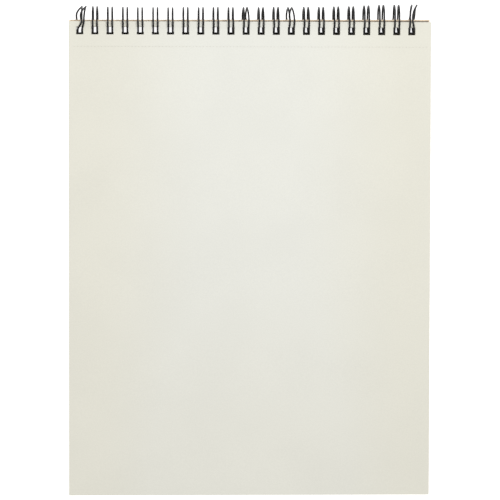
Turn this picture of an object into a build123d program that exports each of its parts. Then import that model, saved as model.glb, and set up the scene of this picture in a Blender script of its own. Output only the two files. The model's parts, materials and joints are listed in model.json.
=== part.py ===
"""A top-bound sketchbook: fifty punched leaves and two covers on one twin-loop wire.

The pad lies face up. X runs along the wire, +Y points to the bound edge and +Z is up.
The origin is on the table, below the middle of the pad.

The closed wire is a row of rings. They stand on the table and hold the bound edge up, so
the covers slope down to the free edge, and the leaves slope a little more, because the
closed fingertips of the wire are wedged in between the last leaf and the back board.
"""

import os
from math import asin, cos, degrees, radians, sin

from build123d import *

# ---- Driving dimensions, in millimetres and degrees ----

# Sheets: 8 x 10.5 inch
SHEET_WIDTH = 203.2
SHEET_HEIGHT = 266.7
LEAF_COUNT = 50
LEAF_THICKNESS = 0.13
BOARD_THICKNESS = 1.5
BOARD_OVERHANG = 0.3
COVER_THICKNESS = 0.44

# Punching: rectangular holes, three to the inch
PITCH = 25.4 / 3
LOOP_COUNT = 23
HOLE_WIDTH = 4.0
HOLE_LENGTH = 4.9
HOLE_MARGIN = 2.9
ROW_SIDE_OFFSET = -2.37

# Perforation that lets a leaf tear off, and the crease that lets the cover fold
PERFORATION_MARGIN = 14.0
PERFORATION_WIDTH = 0.3
PERFORATION_DEPTH = 0.05
CREASE_MARGIN = 15.0
CREASE_WIDTH = 1.2
CREASE_DEPTH = 0.12

# Wire, closed into rings
WIRE_RADIUS = 0.5
RING_RADIUS = 7.1
HALF_LEG_SPACING = 1.25
TIP_ANGLE = -10.0
ROOT_ANGLE = -32.0
ROOT_BEND_RADIUS = 1.5

# How the sheets hang on the wire: set-offs along Y, turns in their own planes
LEAF_SETOFF = 0.65
BOARD_SETOFF = -0.75
COVER_SETOFF = -0.05
BOARD_SIDE_SHIFT = -0.1
COVER_SIDE_SHIFT = -0.3
WIRE_YAW = 0.12
LEAF_YAW = -0.18
COVER_YAW = 0.05
LEAF_DRIFT = 0.1
LEAF_DRIFT_STEP = 2.4
CLEARANCE = 0.03
ROOT_BEND_ROOM = 0.35
COVER_GAP = 0.2

# ---- Sizes that follow ----

ring_outer_radius = RING_RADIUS + WIRE_RADIUS
axis_height = ring_outer_radius
axis_y = (SHEET_HEIGHT + LEAF_SETOFF - ring_outer_radius) / 2
leaf_block_thickness = LEAF_COUNT * LEAF_THICKNESS


def ring_point(x, angle, radius=RING_RADIUS):
    """A point of the ring in the wire's frame. 0 degrees points into the pad, 90 up."""
    turn = radians(angle)
    return Vector(x, -radius * cos(turn), radius * sin(turn))


def ring_tangent(angle):
    """The ring's direction at an angle, towards growing angles."""
    turn = radians(angle)
    return Vector(0, sin(turn), cos(turn))


# The bridges join one loop's root to the next one's. They and the fingertips lie in the
# wedge between the last leaf and the board, at this depth into the pad. The root bends
# reach out past the holes, so the board keeps a little further off.
bridge_centre = ring_point(0, ROOT_ANGLE) + ring_tangent(ROOT_ANGLE) * ROOT_BEND_RADIUS
wedge_depth = -bridge_centre.Y
wedge_top = axis_height + bridge_centre.Z + WIRE_RADIUS + CLEARANCE
wedge_bottom = axis_height + bridge_centre.Z - WIRE_RADIUS - ROOT_BEND_ROOM

# Covers: from the wedge down to the table at their free edge. The folded cover hangs a
# little below the board, so that the board's bound edge is clear of it as it swings.
cover_reach = SHEET_HEIGHT + COVER_SETOFF - wedge_depth
covers_thickness = BOARD_THICKNESS + COVER_GAP + COVER_THICKNESS
covers_tilt = degrees(asin((wedge_bottom - covers_thickness) / cover_reach))

# Leaves: from the wedge down to the board's free edge
board_reach = SHEET_HEIGHT + BOARD_SETOFF - wedge_depth
board_edge_height = wedge_bottom - board_reach * sin(radians(covers_tilt)) + CLEARANCE
leaves_tilt = degrees(asin((wedge_top - board_edge_height) / board_reach))


def sheet_plane(height, tilt, yaw):
    """A sheet's plane. Its origin is under the middle of the hole row, in the wedge."""
    place = (ROW_SIDE_OFFSET, axis_y - wedge_depth, height)
    return Plane(Location(place, (tilt, 0, yaw)))


def top_edge(setoff):
    """Where a sheet's bound edge is on its plane, when it is set off from the ring axis."""
    return wedge_depth - setoff


def drift(number, phase):
    """The small unevenness of the leaves along their edges."""
    return LEAF_DRIFT * sin(LEAF_DRIFT_STEP * number + phase)


def leaf_plane(number):
    """The underside of a leaf, counted from the top of the block."""
    below = (LEAF_COUNT - number) * LEAF_THICKNESS
    return sheet_plane(wedge_top, leaves_tilt, LEAF_YAW).offset(below)


def punch_holes(top):
    """Cut the hole row out of the open sketch, below a bound edge at local y = top."""
    with Locations((0, top - HOLE_MARGIN - HOLE_LENGTH / 2)):
        with GridLocations(PITCH, 0, LOOP_COUNT, 1):
            Rectangle(HOLE_WIDTH, HOLE_LENGTH, mode=Mode.SUBTRACT)


def draw_sheet(top, height, side=0.0):
    """Draw a sheet from its bound edge at local y = top, moved sideways by side."""
    with Locations((side - ROW_SIDE_OFFSET, top - height / 2)):
        Rectangle(SHEET_WIDTH, height)


os.makedirs("parts", exist_ok=True)

# ---- wire_binding: one continuous wire ----

# One loop: in along half a bridge, round the root bend, once round the ring to the
# fingertip, back round the ring and out along the other half bridge.
half_bridge = PITCH / 2 - HALF_LEG_SPACING - ROOT_BEND_RADIUS
ring_middle_angle = (TIP_ANGLE + ROOT_ANGLE + 360) / 2
root_rise = ring_tangent(ROOT_ANGLE) * ROOT_BEND_RADIUS
root_run = Vector(ROOT_BEND_RADIUS, 0, 0)
fingertip = ring_point(0, TIP_ANGLE) - ring_tangent(TIP_ANGLE) * HALF_LEG_SPACING


def root_arc(side):
    """The root bend's end on the bridge, its middle and its end on the ring."""
    on_ring = ring_point(side * HALF_LEG_SPACING, ROOT_ANGLE)
    centre = on_ring + root_run * side
    middle = centre + (root_rise - root_run * side) * cos(radians(45))
    return centre + root_rise, middle, on_ring


with BuildPart() as loop:
    with BuildLine() as loop_path:
        left_bend = root_arc(-1)
        right_bend = root_arc(1)
        Line(left_bend[0] - Vector(half_bridge, 0, 0), left_bend[0])
        ThreePointArc(*left_bend)
        ThreePointArc(
            left_bend[2],
            ring_point(-HALF_LEG_SPACING, ring_middle_angle),
            ring_point(-HALF_LEG_SPACING, TIP_ANGLE),
        )
        ThreePointArc(
            ring_point(-HALF_LEG_SPACING, TIP_ANGLE),
            fingertip,
            ring_point(HALF_LEG_SPACING, TIP_ANGLE),
        )
        ThreePointArc(
            ring_point(HALF_LEG_SPACING, TIP_ANGLE),
            ring_point(HALF_LEG_SPACING, ring_middle_angle),
            right_bend[2],
        )
        ThreePointArc(*reversed(right_bend))
        Line(right_bend[0], right_bend[0] + Vector(half_bridge, 0, 0))
    with BuildSketch(Plane(origin=loop_path.line @ 0, z_dir=(1, 0, 0))):
        Circle(WIRE_RADIUS)
    sweep()

wire_plane = Plane(Location((ROW_SIDE_OFFSET, axis_y, axis_height), (0, 0, WIRE_YAW)))

with BuildPart(wire_plane) as wire_binding:
    with GridLocations(PITCH, 0, LOOP_COUNT, 1):
        add(loop.part)
wire_binding.part.label = "wire_binding"
export_step(wire_binding.part, "parts/wire_binding.step")

# ---- leaf_01: the open leaf, in two pieces that meet along the perforation ----

first_plane = leaf_plane(1)
leaf_top = top_edge(LEAF_SETOFF)

with BuildPart() as leaf_01_stub:
    with BuildSketch(first_plane):
        draw_sheet(leaf_top, PERFORATION_MARGIN)
        punch_holes(leaf_top)
    extrude(amount=LEAF_THICKNESS)
leaf_01_stub.part.label = "leaf_01_stub"
export_step(leaf_01_stub.part, "parts/leaf_01_stub.step")

with BuildPart() as leaf_01_sheet:
    with BuildSketch(first_plane):
        draw_sheet(leaf_top - PERFORATION_MARGIN, SHEET_HEIGHT - PERFORATION_MARGIN)
    extrude(amount=LEAF_THICKNESS)
leaf_01_sheet.part.label = "leaf_01_sheet"
export_step(leaf_01_sheet.part, "parts/leaf_01_sheet.step")

# ---- leaf_02 to leaf_50: whole leaves, with the perforation as a scored line ----

for number in range(2, LEAF_COUNT + 1):
    plane = leaf_plane(number)
    side = drift(number, 0)
    top = leaf_top + drift(number, 1)
    with BuildPart() as leaf:
        with BuildSketch(plane):
            draw_sheet(top, SHEET_HEIGHT, side)
            punch_holes(top)
        extrude(amount=LEAF_THICKNESS)
        with BuildSketch(plane.offset(LEAF_THICKNESS)):
            with Locations((side - ROW_SIDE_OFFSET, top - PERFORATION_MARGIN)):
                Rectangle(SHEET_WIDTH, PERFORATION_WIDTH)
        extrude(amount=-PERFORATION_DEPTH, mode=Mode.SUBTRACT)
    leaf.part.label = f"leaf_{number:02d}"
    export_step(leaf.part, f"parts/{leaf.part.label}.step")

# ---- back_board: stiff chipboard under the leaves ----

board_plane = sheet_plane(wedge_bottom, covers_tilt, 0).offset(-BOARD_THICKNESS)
board_top = top_edge(BOARD_SETOFF)

with BuildPart() as back_board:
    with BuildSketch(board_plane):
        draw_sheet(board_top, SHEET_HEIGHT + BOARD_OVERHANG, BOARD_SIDE_SHIFT)
        punch_holes(board_top - BOARD_OVERHANG)
    extrude(amount=BOARD_THICKNESS)
back_board.part.label = "back_board"
export_step(back_board.part, "parts/back_board.step")

# ---- front_cover: card cover, folded all the way round and lying behind the board ----

cover_plane = sheet_plane(wedge_bottom, covers_tilt, COVER_YAW).offset(-covers_thickness)
cover_top = top_edge(COVER_SETOFF)

with BuildPart() as front_cover:
    with BuildSketch(cover_plane):
        draw_sheet(cover_top, SHEET_HEIGHT, COVER_SIDE_SHIFT)
        punch_holes(cover_top)
    extrude(amount=COVER_THICKNESS)
    with BuildSketch(cover_plane):
        with Locations((COVER_SIDE_SHIFT - ROW_SIDE_OFFSET, cover_top - CREASE_MARGIN)):
            Rectangle(SHEET_WIDTH, CREASE_WIDTH)
    extrude(amount=CREASE_DEPTH, mode=Mode.SUBTRACT)
front_cover.part.label = "front_cover"
export_step(front_cover.part, "parts/front_cover.step")
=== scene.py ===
"""The sketchbook's looks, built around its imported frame.

Lengths are named in millimetres and used in metres. The page's own axes come from the
frame: page_x runs along the wire, page_y to the bound edge and page_up out of the page.
"""

import json
from math import cos, pi, radians, sin
from random import Random

import bpy
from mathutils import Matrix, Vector, noise


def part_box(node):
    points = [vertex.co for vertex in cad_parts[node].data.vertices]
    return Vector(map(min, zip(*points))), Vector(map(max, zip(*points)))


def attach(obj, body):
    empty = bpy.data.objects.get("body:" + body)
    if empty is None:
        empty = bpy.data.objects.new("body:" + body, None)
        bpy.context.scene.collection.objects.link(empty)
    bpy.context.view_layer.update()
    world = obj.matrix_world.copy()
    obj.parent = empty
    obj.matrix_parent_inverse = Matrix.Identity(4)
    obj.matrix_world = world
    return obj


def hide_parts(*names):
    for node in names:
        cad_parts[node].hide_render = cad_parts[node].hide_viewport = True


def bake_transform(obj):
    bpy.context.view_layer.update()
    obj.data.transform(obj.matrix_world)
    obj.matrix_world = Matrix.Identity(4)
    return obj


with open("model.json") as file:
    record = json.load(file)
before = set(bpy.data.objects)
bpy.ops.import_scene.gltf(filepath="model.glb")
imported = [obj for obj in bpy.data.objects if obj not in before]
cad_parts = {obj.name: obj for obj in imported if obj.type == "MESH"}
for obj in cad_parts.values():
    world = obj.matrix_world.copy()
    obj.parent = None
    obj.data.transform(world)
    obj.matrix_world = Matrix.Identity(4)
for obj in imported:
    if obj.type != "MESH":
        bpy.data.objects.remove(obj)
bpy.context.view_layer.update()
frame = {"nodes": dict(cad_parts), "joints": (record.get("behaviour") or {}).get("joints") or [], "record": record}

MM = 0.001

# ---- The frame's places ----

joints = {joint["name"]: joint for joint in frame["joints"]}
mounts = {mount["name"]: mount for mount in frame["record"]["mounts"]}

ring_centre = Vector(joints["leaf_turn"]["pos_m"])
wire_x = -Vector(joints["leaf_turn"]["axis"]).normalized()
wire_up = Vector((0, 0, 1))
wire_y = wire_up.cross(wire_x)

fold_centre = Vector(joints["leaf_fold"]["pos_m"])
page_x = -Vector(joints["leaf_fold"]["axis"]).normalized()
page_up = Vector(mounts["drawing_surface"]["axis"]).normalized()
page_y = page_up.cross(page_x)

# ---- Sizes, in millimetres and degrees, as the parts have them ----

SHEET_WIDTH = 203.2
SHEET_HEIGHT = 266.7
LEAF_THICKNESS = 0.13
LEAF_COUNT = 50
PERFORATION_MARGIN = 14.0
HOLE_WIDTH = 4.0
HOLE_LENGTH = 4.9
HOLE_MARGIN = 2.9
ROW_SIDE_OFFSET = -2.37
PITCH = 25.4 / 3
LOOP_COUNT = 23

WIRE_RADIUS = 0.5
RING_RADIUS = 7.1
HALF_LEG_SPACING = 1.25
TIP_ANGLE = -10.0
ROOT_ANGLE = -32.0
ROOT_BEND_RADIUS = 1.5


# ---- Materials ----

# The Mix node has several sockets of each name; these are its colour sockets.
MIX_COLOUR_A = 6
MIX_COLOUR_B = 7
MIX_COLOUR_RESULT = 2


class Finish:
    """A node material. Each call adds one node and returns the output it is used by."""

    def __init__(self, name):
        self.material = bpy.data.materials.new(name)
        self.material.use_nodes = True
        self.tree = self.material.node_tree
        self.surface = self.tree.nodes["Principled BSDF"]
        coordinates = self.tree.nodes.new("ShaderNodeTexCoord")
        self.place = coordinates.outputs["Object"]
        self.normal = coordinates.outputs["Normal"]

    def node(self, kind, **settings):
        made = self.tree.nodes.new(kind)
        for key, value in settings.items():
            setattr(made, key, value)
        return made

    def put(self, socket, value):
        """Give an input a value, or link it to another node's output."""
        if isinstance(value, bpy.types.NodeSocket):
            self.tree.links.new(value, socket)
        elif isinstance(value, tuple) and len(value) == 3 and socket.type == "RGBA":
            socket.default_value = (*value, 1)
        else:
            socket.default_value = value

    def set(self, name, value):
        self.put(self.surface.inputs[name], value)

    def math(self, operation, a, b=0.0, c=0.0):
        made = self.node("ShaderNodeMath", operation=operation)
        for socket, value in zip(made.inputs, (a, b, c)):
            self.put(socket, value)
        return made.outputs[0]

    def dot(self, a, b):
        made = self.node("ShaderNodeVectorMath", operation="DOT_PRODUCT")
        self.put(made.inputs[0], a)
        self.put(made.inputs[1], b)
        return made.outputs["Value"]

    def along(self, direction, origin):
        """The distance of a surface point from origin, along a direction, in metres."""
        away = self.dot(self.place, tuple(direction))
        return self.math("SUBTRACT", away, direction.dot(origin))

    def noise(self, scale, detail=2.0, rough=0.5, place=None):
        """Noise from 0 to 1, with this many waves to the metre."""
        made = self.node("ShaderNodeTexNoise")
        self.put(made.inputs["Vector"], place or self.place)
        self.put(made.inputs["Scale"], scale)
        self.put(made.inputs["Detail"], detail)
        self.put(made.inputs["Roughness"], rough)
        return made.outputs["Fac"]

    def stretched(self, factors):
        """The surface's place, scaled by a factor along each axis, for drawn-out grain."""
        made = self.node("ShaderNodeMapping")
        self.put(made.inputs["Vector"], self.place)
        self.put(made.inputs["Scale"], factors)
        return made.outputs[0]

    def ramp(self, value, low, high, to_low=0.0, to_high=1.0):
        """A value between low and high, carried smoothly onto the range to_low to to_high."""
        made = self.node("ShaderNodeMapRange", interpolation_type="SMOOTHSTEP")
        for socket, number in zip(made.inputs, (value, low, high, to_low, to_high)):
            self.put(socket, number)
        return made.outputs[0]

    def mix(self, factor, a, b, blend="MIX"):
        made = self.node("ShaderNodeMix", data_type="RGBA", blend_type=blend)
        self.put(made.inputs["Factor"], factor)
        self.put(made.inputs[MIX_COLOUR_A], a)
        self.put(made.inputs[MIX_COLOUR_B], b)
        return made.outputs[MIX_COLOUR_RESULT]

    def shade(self, colour, factor):
        """A colour made darker or lighter by a number."""
        grey = self.node("ShaderNodeCombineColor")
        for socket in grey.inputs[:3]:
            self.put(socket, factor)
        return self.mix(1.0, colour, grey.outputs[0], "MULTIPLY")

    def bump(self, height, depth):
        """A rough surface's normal, from a height of 0 to 1 and a depth in millimetres."""
        made = self.node("ShaderNodeBump")
        self.put(made.inputs["Height"], height)
        self.put(made.inputs["Distance"], depth * MM)
        return made.outputs[0]


def paint(obj, *materials):
    """Put these materials in the object's slots, in order."""
    obj.data.materials.clear()
    for material in materials:
        obj.data.materials.append(material)


PAPER_COLOUR = (0.702, 0.701, 0.646)
WARM_EDGE_COLOUR = (0.690, 0.676, 0.594)
# The cut edges are lighter than the face: painted light for light shining through the paper into the edges and
# hole walls.
LIT_CUT_EDGE_COLOUR = (0.84, 0.79, 0.66)
# Painted shade: the dark colour of the slits' gaps.
SLIT_SHADE_COLOUR = (0.42, 0.39, 0.31)

# Where the warmer, slightly darker colour starts and is full: out from the sheet's middle, and down from the
# perforation, in millimetres. The foot warms less than the long edges.
WARMING_ASIDE = (20.0, 92.0)
WARMING_DOWN = (110.0, 240.0)
FOOT_WARMING = 0.5
SLIT_SHADE_HALF_WIDTH = (0.03, 0.09)


def paper(name, tone=1.0, scored=True):
    """Uncoated sketch paper: cream, with a felt tooth, warmer towards the long edges."""
    finish = Finish(name)
    across = finish.along(page_x, fold_centre)
    down = finish.along(page_y, fold_centre)
    height = finish.along(page_up, fold_centre)

    # Warmer and a little darker towards the long edges and the foot
    aside = finish.math("ABSOLUTE", across)
    at_edges = finish.ramp(aside, *[distance * MM for distance in WARMING_ASIDE])
    at_foot = finish.ramp(down, *[-distance * MM for distance in WARMING_DOWN], 0.0, FOOT_WARMING)
    warming = finish.math("MAXIMUM", at_edges, at_foot)
    colour = finish.mix(warming, PAPER_COLOUR, WARM_EDGE_COLOUR)

    # Pulp: broad clouds, and fine fibres
    clouds = finish.ramp(finish.noise(28, 2), 0.3, 0.7, 0.988, 1.008)
    fibres = finish.ramp(finish.noise(1400, 3, 0.65), 0.3, 0.7, 0.975, 1.015)
    grain = finish.math("MULTIPLY", finish.math("MULTIPLY", clouds, fibres), tone)
    colour = finish.shade(colour, grain)

    # Cut edges: painted shade in lines between the sheets, a slightly fuzzy cut, and painted light in the
    # lightened cut colour
    flatness = finish.math("ABSOLUTE", finish.dot(finish.normal, tuple(page_up)))
    is_cut = finish.ramp(flatness, 0.6, 0.4)
    layer = finish.math("FRACT", finish.math("DIVIDE", height, -LEAF_THICKNESS * MM))
    middle = finish.math("ABSOLUTE", finish.math("SUBTRACT", layer, 0.5))
    # Painted shade: darker lines where the sheets meet.
    sheet_gap_shade = finish.ramp(middle, 0.5, 0.3, 0.7, 1.0)
    fuzz = finish.ramp(finish.noise(5200, 2), 0.3, 0.7, 0.86, 1.05)
    # The cut colour is lightened as painted light for light shining through the paper.
    lit_cut_edge = finish.shade(LIT_CUT_EDGE_COLOUR, finish.math("MULTIPLY", sheet_gap_shade, fuzz))
    lit_cut_edge = finish.shade(lit_cut_edge, tone)
    colour = finish.mix(is_cut, colour, lit_cut_edge)

    if scored:
        # Painted shade of the perforation's slits, along the scored line
        beat = finish.math("FRACT", finish.math("DIVIDE", across, SLIT_PITCH * MM))
        in_slit = finish.math("LESS_THAN", beat, SLIT_LENGTH / SLIT_PITCH)
        full, gone = [distance * MM for distance in SLIT_SHADE_HALF_WIDTH]
        near = finish.ramp(finish.math("ABSOLUTE", down), full, gone, 1.0, 0.0)
        colour = finish.mix(finish.math("MULTIPLY", in_slit, near), colour, SLIT_SHADE_COLOUR)
    finish.set("Base Color", colour)

    roughness = finish.ramp(finish.noise(900, 2), 0.3, 0.7, 0.82, 0.95)
    finish.set("Roughness", roughness)
    finish.set("Specular IOR Level", 0.25)
    finish.set("Sheen Weight", 0.05)

    felt = finish.noise(1900, 4, 0.6)
    pits = finish.noise(520, 2)
    tooth = finish.math("ADD", felt, finish.math("MULTIPLY", pits, 0.8))
    finish.set("Normal", finish.bump(tooth, 0.035))
    return finish.material


BOARD_COLOURS = (0.27, 0.235, 0.195), (0.33, 0.285, 0.235)
WORN_AND_LIT_EDGE_COLOUR = (0.88, 0.725, 0.55)
DARK_FLECK_COLOUR = (0.16, 0.11, 0.07)
PALE_FLECK_COLOUR = (0.66, 0.57, 0.43)
WORN_AND_LIT_WIDTH = (0.7, 1.0)


def chipboard(name, box):
    """Grey-brown board of pressed waste paper, with flecks, fibres and paler edges: partly wear, partly painted
    light.
    """
    finish = Finish(name)
    base = finish.mix(finish.ramp(finish.noise(60, 3), 0.3, 0.7), *BOARD_COLOURS)

    # How far a point is inside the board's outline, against the width of the pale edge band there
    middle = (Vector(box[0]) + Vector(box[1])) / 2
    half = (Vector(box[1]) - Vector(box[0])) / 2
    inward = [
        finish.math("SUBTRACT", half[axis], finish.math("ABSOLUTE", finish.along(way, middle)))
        for axis, way in enumerate((Vector((1, 0, 0)), Vector((0, 1, 0))))
    ]
    narrow, wide = [width * MM for width in WORN_AND_LIT_WIDTH]
    rubbed_and_lit = finish.ramp(finish.noise(350, 3), 0.3, 0.7, narrow, wide)
    nearest = finish.math("MINIMUM", *inward)
    worn_and_lit = finish.ramp(finish.math("DIVIDE", nearest, rubbed_and_lit), 1.1, 0.6)
    # Paler edge band: real wear, made paler still as painted light on the board's outer edge.
    base = finish.mix(worn_and_lit, base, WORN_AND_LIT_EDGE_COLOUR)

    # Fibres and flecks, drawn out along the board's grain
    grain_place = finish.stretched((0.25, 1.6, 1.6))
    grain = finish.ramp(finish.noise(1300, 4, 0.7, grain_place), 0.25, 0.75, 0.82, 1.12)
    colour = finish.shade(base, grain)
    dark_fleck = finish.ramp(finish.noise(900, 2, 0.5), 0.70, 0.76)
    colour = finish.mix(finish.math("MULTIPLY", dark_fleck, 0.6), colour, DARK_FLECK_COLOUR)
    pale_fleck = finish.ramp(finish.noise(620, 2, 0.5, grain_place), 0.71, 0.78)
    colour = finish.mix(finish.math("MULTIPLY", pale_fleck, 0.5), colour, PALE_FLECK_COLOUR)
    finish.set("Base Color", colour)
    finish.set("Roughness", finish.ramp(finish.noise(500), 0.3, 0.7, 0.85, 0.97))
    finish.set("Specular IOR Level", 0.2)
    finish.set("Normal", finish.bump(finish.noise(1500, 4, 0.7, grain_place), 0.08))
    return finish.material


COVER_COLOURS = (0.042, 0.043, 0.047), (0.047, 0.048, 0.052)


def cover_card(name):
    """Charcoal card, dyed through, with a fine felt."""
    finish = Finish(name)
    base = finish.mix(finish.ramp(finish.noise(45, 3), 0.3, 0.7), *COVER_COLOURS)
    speck = finish.ramp(finish.noise(2400, 3, 0.7), 0.25, 0.8, 0.75, 1.35)
    finish.set("Base Color", finish.shade(base, speck))
    finish.set("Roughness", finish.ramp(finish.noise(700), 0.3, 0.7, 0.6, 0.75))
    finish.set("Specular IOR Level", 0.35)
    finish.set("Normal", finish.bump(finish.noise(2100, 4, 0.65), 0.04))
    return finish.material


NYLON_COLOURS = (0.006, 0.006, 0.0065), (0.011, 0.011, 0.012)
STEEL_COLOURS = (0.42, 0.42, 0.43), (0.62, 0.62, 0.62)


def coated_wire(name):
    """Steel wire in a thin black nylon coat."""
    finish = Finish(name)
    tint = finish.ramp(finish.noise(260, 2), 0.3, 0.7)
    finish.set("Base Color", finish.mix(tint, *NYLON_COLOURS))
    finish.set("Roughness", finish.ramp(finish.noise(900, 2), 0.3, 0.7, 0.28, 0.4))
    finish.set("Specular IOR Level", 0.25)
    finish.set("Normal", finish.bump(finish.noise(1600, 2), 0.012))
    return finish.material


def cut_steel(name):
    """The bare face of the wire where it was nipped off."""
    finish = Finish(name)
    finish.set("Base Color", finish.mix(finish.noise(4000, 2), *STEEL_COLOURS))
    finish.set("Metallic", 1.0)
    finish.set("Roughness", finish.ramp(finish.noise(3000), 0.3, 0.7, 0.35, 0.55))
    return finish.material


# ---- The wire: one strand, in twin loops with short bridges between them ----

RING_STEPS = 72
TIP_STEPS = 12
ROOT_STEPS = 8
TUBE_SIDES = 14

# How far the bent loops' legs stand to the right of true, in millimetres. Each leg has a
# number at the ring's top, outer side and underside, for the left leg and then the right.
# They are the three middle angles of BENT_AT, and the legs are true at its two ends.
BENT_AT = (40.0, 88.0, 180.0, 250.0, 300.0)
BENT_LOOPS = {
    1: ((2.4, 2.4, -0.9), (1.1, 2.1, -1.1)),
    2: ((0.1, 0.25, 0.3), (0.0, 0.15, 0.3)),
    12: ((0.0, -0.1, -0.5), (0.2, -0.65, -1.2)),
    13: ((0.1, -0.1, -0.2), (0.1, -0.1, -0.3)),
    14: ((0.0, 0.0, -0.1), (0.1, 0.0, -0.2)),
    15: ((0.4, -0.4, -0.9), (0.45, -0.8, -1.7)),
    16: ((0.1, 0.0, -0.1), (0.2, 0.0, 0.0)),
    22: ((0.0, 0.05, 0.2), (0.0, 0.0, 0.2)),
    23: ((0.2, 1.7, 1.5), (-0.9, 2.1, 1.5)),
}
LOOP_UNEVENNESS = 0.12

# How far the fingertips reach past true into the pad, at the first loop and at the last.
TIP_REACH = (-0.1, 0.35)

# How far the crowns stand past true, away from the pad: every loop's, and how much more at
# the row's left and right ends. The lean starts this far along each half of the row.
CROWN_REACH = 0.25
CROWN_LEAN = (0.7, 1.25)
LEAN_START = (0.55, 0.4)

# The angles between which the wire is free of the holes, and over which it gets free.
FREE_FROM = 50.0
FREE_TO = 300.0
FREE_FADE = 60.0
TIP_REACH_FADE = 70.0


def ring_point(x, angle, radius=RING_RADIUS):
    """A point of the ring in the wire's frame. 0 degrees points into the pad, 90 up."""
    turn = radians(angle)
    return Vector((x, -radius * cos(turn), radius * sin(turn)))


def ring_tangent(angle):
    turn = radians(angle)
    return Vector((0, sin(turn), cos(turn)))


def smooth(t):
    t = min(max(t, 0.0), 1.0)
    return t * t * (3 - 2 * t)


def bent_by(bends, angle):
    """How far a leg stands to the side at an angle of the ring, from its three bends."""
    values = (0.0, *bends, 0.0)
    for low, high, a, b in zip(BENT_AT, BENT_AT[1:], values, values[1:]):
        if low <= angle <= high:
            return a + (b - a) * smooth((angle - low) / (high - low))
    return 0.0


def arc_points(centre, first, second, turn, steps):
    """Points round an arc that starts at centre + first and turns towards second."""
    angles = [turn * step / steps for step in range(steps + 1)]
    return [centre + first * cos(angle) + second * sin(angle) for angle in angles]


def looseness(angle):
    """How free the wire is at an angle: 0 in the holes, 1 round the crown."""
    return smooth((angle - FREE_FROM) / FREE_FADE) * smooth((FREE_TO - angle) / FREE_FADE)


def leg_points(side, bends, reach, wander):
    """One leg, from its root round the ring to the fingertip."""
    points = []
    start = ROOT_ANGLE + 360
    for step in range(RING_STEPS + 1):
        angle = start + (TIP_ANGLE - start) * step / RING_STEPS
        point = ring_point(side * HALF_LEG_SPACING, angle)
        point.x += bent_by(bends, angle)
        point.y -= reach * smooth((TIP_REACH_FADE - angle) / TIP_REACH_FADE)
        points.append(point + wander * looseness(angle))
    return points


def crown_lean(number):
    """How far a loop's crown stands past true: the loops at the row's two ends lean more."""
    along = 2 * (number - 1) / (LOOP_COUNT - 1) - 1
    end = int(along > 0)
    bow = smooth((abs(along) - LEAN_START[end]) / (1 - LEAN_START[end]))
    return CROWN_REACH + CROWN_LEAN[end] * bow


def loop_points(number, chance):
    """One loop's centreline about its own middle, from bridge to bridge."""
    left_bends, right_bends = BENT_LOOPS.get(number, ((0, 0, 0), (0, 0, 0)))
    loose = LOOP_UNEVENNESS
    wander = Vector([chance.uniform(-loose, loose) for _ in range(3)])
    reach = TIP_REACH[0] + (TIP_REACH[1] - TIP_REACH[0]) * (number - 1) / (LOOP_COUNT - 1)
    wander.y += crown_lean(number)
    x_way = Vector((1, 0, 0))
    rise = ring_tangent(ROOT_ANGLE) * ROOT_BEND_RADIUS
    run = x_way * ROOT_BEND_RADIUS

    root_left = ring_point(-HALF_LEG_SPACING, ROOT_ANGLE)
    into = arc_points(root_left - run, rise, run, pi / 2, ROOT_STEPS)
    down = leg_points(-1, left_bends, reach, wander)
    tip_centre = ring_point(0, TIP_ANGLE) - Vector((0, reach, 0))
    tip_reach = -ring_tangent(TIP_ANGLE) * HALF_LEG_SPACING
    tip = arc_points(tip_centre, -x_way * HALF_LEG_SPACING, tip_reach, pi, TIP_STEPS)
    back = leg_points(1, right_bends, reach, wander)[::-1]
    root_right = ring_point(HALF_LEG_SPACING, ROOT_ANGLE)
    out = arc_points(root_right + run, -run, rise, pi / 2, ROOT_STEPS)
    return into[:-1] + down[:-1] + tip[:-1] + back[:-1] + out


def wire_path():
    """The whole wire's centreline, in metres in the row frame."""
    chance = Random(23)
    half_bridge = PITCH / 2 - HALF_LEG_SPACING - ROOT_BEND_RADIUS
    path = []
    for number in range(1, LOOP_COUNT + 1):
        middle = Vector(((number - (LOOP_COUNT + 1) / 2) * PITCH, 0, 0))
        loop = [point + middle for point in loop_points(number, chance)]
        loop.insert(0, loop[0] - Vector((half_bridge, 0, 0)))
        loop.append(loop[-1] + Vector((half_bridge, 0, 0)))
        path += loop if not path else loop[1:]
    return [
        ring_centre + (wire_x * p.x + wire_y * p.y + wire_up * p.z) * MM for p in path
    ]


def mesh_object(name, points, faces, material_of=None):
    mesh = bpy.data.meshes.new(name)
    mesh.from_pydata([tuple(p) for p in points], [], faces)
    if material_of:
        mesh.polygons.foreach_set("material_index", [material_of(i) for i in range(len(faces))])
    mesh.update()
    obj = bpy.data.objects.new(name, mesh)
    bpy.context.scene.collection.objects.link(obj)
    return obj


def tube(name, path, radius, sides):
    """A closed round tube along a path. Its two end faces take the second material."""
    points, faces = [], []
    forward = (path[1] - path[0]).normalized()
    side_way = forward.cross(Vector((0, 0, 1))).normalized()
    for index, place in enumerate(path):
        before = path[max(index - 1, 0)]
        after = path[min(index + 1, len(path) - 1)]
        forward = (after - before).normalized()
        side_way = (side_way - forward * side_way.dot(forward)).normalized()
        up_way = forward.cross(side_way)
        for corner in range(sides):
            turn = 2 * pi * corner / sides
            points.append(place + (side_way * cos(turn) + up_way * sin(turn)) * radius)
    for ring in range(len(path) - 1):
        for corner in range(sides):
            a = ring * sides + corner
            b = ring * sides + (corner + 1) % sides
            faces.append((a, a + sides, b + sides, b))
    last = (len(path) - 1) * sides
    faces.append(tuple(range(sides)))
    faces.append(tuple(last + corner for corner in reversed(range(sides))))
    walls = len(faces) - 2
    obj = mesh_object(name, points, faces, lambda index: int(index >= walls))
    for polygon in obj.data.polygons:
        polygon.use_smooth = polygon.index < walls
    return obj


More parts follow.
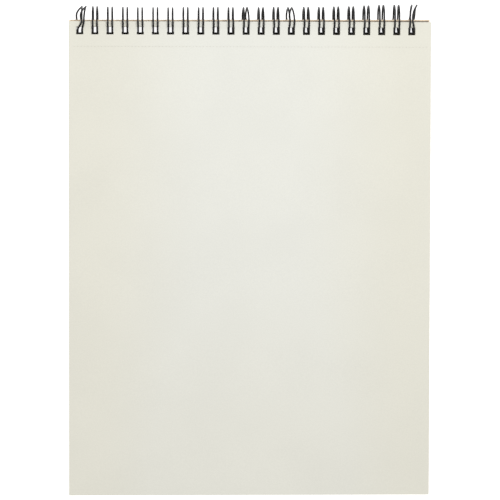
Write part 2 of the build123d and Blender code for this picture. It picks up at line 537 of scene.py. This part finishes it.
wire = tube("twin_loop_wire", wire_path(), WIRE_RADIUS * MM, TUBE_SIDES)
paint(wire, coated_wire("black_nylon"), cut_steel("nipped_end"))
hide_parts("wire_binding")
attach(wire, "bound_block")

# ---- The open leaf: one sheet, perforated, with close rows of faces at the perforation ----

SLIT_PITCH = 1.9
SLIT_LENGTH = 1.25
SLIT_WIDTH = 0.1
TIE_AT_EDGE = 1.1

# Close rows of faces run from FOLD_REACH below the perforation to just above it.
FOLD_REACH = 1.2
FOLD_STEPS = 11
SHEET_STEPS = 44

# The free corners curl up, the left one less, and the sheet ripples a little.
AIR_UNDER_LEAF = 0.01
CURL_START = 40.0
CORNER_CURL = 0.5
LEFT_CURL_SHARE = 0.7
RIPPLE_HEIGHT = 0.05
RIPPLE_SIZE = (55.0, 70.0)
RIPPLE_SLICE = 3.1
RIPPLE_START = 30.0

# The open leaf's holes end this much short of the block's, on the side towards the page.
HOLE_LIP = 0.5


def spaced(low, high, count):
    return [low + (high - low) * step / count for step in range(count + 1)]


def hole_spans():
    """Where the punched holes begin and end across the sheet."""
    middles = [
        ROW_SIDE_OFFSET + (number - (LOOP_COUNT - 1) / 2) * PITCH
        for number in range(LOOP_COUNT)
    ]
    return [(middle - HOLE_WIDTH / 2, middle + HOLE_WIDTH / 2) for middle in middles]


def slit_spans():
    """Where the perforation's slits begin and end across the sheet."""
    count = int((SHEET_WIDTH - 2 * TIE_AT_EDGE) / SLIT_PITCH)
    start = -(count * SLIT_PITCH - (SLIT_PITCH - SLIT_LENGTH)) / 2
    return [(start + n * SLIT_PITCH, start + n * SLIT_PITCH + SLIT_LENGTH) for n in range(count)]


def within(value, spans):
    return any(low < value < high for low, high in spans)


def lift(x, y):
    """How far the open leaf stands off the block, in millimetres."""
    free = smooth((-y - CURL_START) / (SHEET_HEIGHT - PERFORATION_MARGIN - CURL_START))
    aside = abs(x) / (SHEET_WIDTH / 2)
    corner = CORNER_CURL * free**3 * aside**4 * (1.0 if x > 0 else LEFT_CURL_SHARE)
    wave = noise.noise(Vector((x / RIPPLE_SIZE[0], y / RIPPLE_SIZE[1], RIPPLE_SLICE)))
    ripple = RIPPLE_HEIGHT * (1 + wave) * smooth(-y / RIPPLE_START)
    return AIR_UNDER_LEAF + corner + ripple


def open_leaf():
    """The top sheet with its holes and slits cut right through."""
    holes, slits = hole_spans(), slit_spans()
    half = SHEET_WIDTH / 2
    foot = PERFORATION_MARGIN - SHEET_HEIGHT
    x_lines = sorted({-half, half, *[edge for span in holes + slits for edge in span]})
    hole_top = PERFORATION_MARGIN - HOLE_MARGIN
    hole_rows = (hole_top - HOLE_LENGTH + HOLE_LIP, hole_top)
    near_fold = spaced(-FOLD_REACH, -0.1, FOLD_STEPS) + [0.1, 0.5]
    y_lines = sorted(
        {
            PERFORATION_MARGIN,
            *hole_rows,
            *near_fold,
            -SLIT_WIDTH / 2,
            SLIT_WIDTH / 2,
            *spaced(foot, -3.0, SHEET_STEPS),
        }
    )

    def is_cut_out(x, y):
        in_holes = hole_rows[0] < y < hole_rows[1] and within(x, holes)
        in_slits = abs(y) < SLIT_WIDTH / 2 and within(x, slits)
        return in_holes or in_slits

    columns, rows = len(x_lines) - 1, len(y_lines) - 1
    solid = {
        (i, j)
        for i in range(columns)
        for j in range(rows)
        if not is_cut_out((x_lines[i] + x_lines[i + 1]) / 2, (y_lines[j] + y_lines[j + 1]) / 2)
    }
    points, index_of = [], {}

    def corner(i, j, layer):
        key = (i, j, layer)
        if key not in index_of:
            x, y = x_lines[i], y_lines[j]
            z = lift(x, y) - layer * LEAF_THICKNESS
            index_of[key] = len(points)
            points.append(fold_centre + (page_x * x + page_y * y + page_up * z) * MM)
        return index_of[key]

    faces = []
    for i, j in sorted(solid):
        ring = [(i, j), (i + 1, j), (i + 1, j + 1), (i, j + 1)]
        faces.append(tuple(corner(*c, 0) for c in ring))
        faces.append(tuple(corner(*c, 1) for c in reversed(ring)))
        neighbours = [(i, j - 1), (i + 1, j), (i, j + 1), (i - 1, j)]
        for side, neighbour in enumerate(neighbours):
            if neighbour not in solid:
                a, b = ring[side], ring[(side + 1) % 4]
                faces.append((corner(*a, 0), corner(*a, 1), corner(*b, 1), corner(*b, 0)))
    return mesh_object("open_leaf_paper", points, faces)


leaf = open_leaf()
paint(leaf, paper("open_leaf_cartridge", scored=False))
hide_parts("leaf_01_stub", "leaf_01_sheet")
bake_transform(leaf)

# ---- CAD nodes that keep their shape ----

# The sheets differ a little in tone. Neighbours are TONE_STEP papers apart.
TONES = (1.0, 0.985, 0.995, 0.975, 0.99)
TONE_STEP = 3
papers = [paper(f"cartridge_{number}", tone) for number, tone in enumerate(TONES)]
for number in range(2, LEAF_COUNT + 1):
    paint(frame["nodes"][f"leaf_{number:02d}"], papers[(number * TONE_STEP) % len(papers)])
paint(frame["nodes"]["back_board"], chipboard("grey_board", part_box("back_board")))
paint(frame["nodes"]["front_cover"], cover_card("charcoal_card"))

# ---- Stage: a pale glowing table, an even sky and two soft lights. Metres and watts ----

FLOOR_HALF = 40.0
FLOOR_DROP = 0.00002
FLOOR_COLOUR = (0.5, 0.5, 0.5)
FLOOR_GLOW = 0.97

KEY_PLACE = (-0.45, -0.28, 2.4)
KEY_SIZE = 0.2
KEY_POWER = 25.0
TOP_PLACE = (0.12, 0.36, 0.74)
TOP_SIZE = 0.25
TOP_POWER = 3.15
SKY_STRENGTH = 0.34


def lit_floor():
    floor_corners = [(-1, -1), (1, -1), (1, 1), (-1, 1)]
    points = [(x * FLOOR_HALF, y * FLOOR_HALF, -FLOOR_DROP) for x, y in floor_corners]
    floor = mesh_object("table", points, [(0, 1, 2, 3)])
    finish = Finish("pale_table")
    finish.set("Base Color", FLOOR_COLOUR)
    finish.set("Roughness", 0.9)
    finish.set("Emission Color", (1.0, 1.0, 1.0))
    finish.set("Emission Strength", FLOOR_GLOW)
    paint(floor, finish.material)


def soft_light(name, place, size, power):
    """A round lamp that points at the middle of the frame."""
    lamp = bpy.data.lights.new(name, "AREA")
    lamp.shape = "DISK"
    lamp.size = size
    lamp.energy = power
    obj = bpy.data.objects.new(name, lamp)
    obj.location = place
    toward = -Vector(place)
    obj.rotation_euler = toward.to_track_quat("-Z", "Y").to_euler()
    bpy.context.scene.collection.objects.link(obj)


def sky(strength):
    world = bpy.data.worlds.new("studio")
    world.use_nodes = True
    background = world.node_tree.nodes["Background"]
    background.inputs["Color"].default_value = (1, 1, 1, 1)
    background.inputs["Strength"].default_value = strength
    bpy.context.scene.world = world


lit_floor()
soft_light("key", KEY_PLACE, KEY_SIZE, KEY_POWER)
soft_light("top", TOP_PLACE, TOP_SIZE, TOP_POWER)
sky(SKY_STRENGTH)

# ---- Camera: 1.6 m above the pad, looking almost straight down ----

CAMERA_PLACE = (-57.032, 60.649, 1612.953)
CAMERA_TURN = (-2.1252, -2.0304, -0.0812)
LENS = 205.34
SENSOR = 36.0
CLIP_END = 200.0

camera_data = bpy.data.cameras.new("camera")
camera_data.lens = LENS
camera_data.sensor_width = SENSOR
camera_data.clip_end = CLIP_END
camera = bpy.data.objects.new("camera", camera_data)
camera.location = Vector(CAMERA_PLACE) * MM
camera.rotation_euler = [radians(angle) for angle in CAMERA_TURN]
bpy.context.scene.collection.objects.link(camera)
bpy.context.scene.camera = camera
bpy.context.scene.view_settings.view_transform = "Standard"
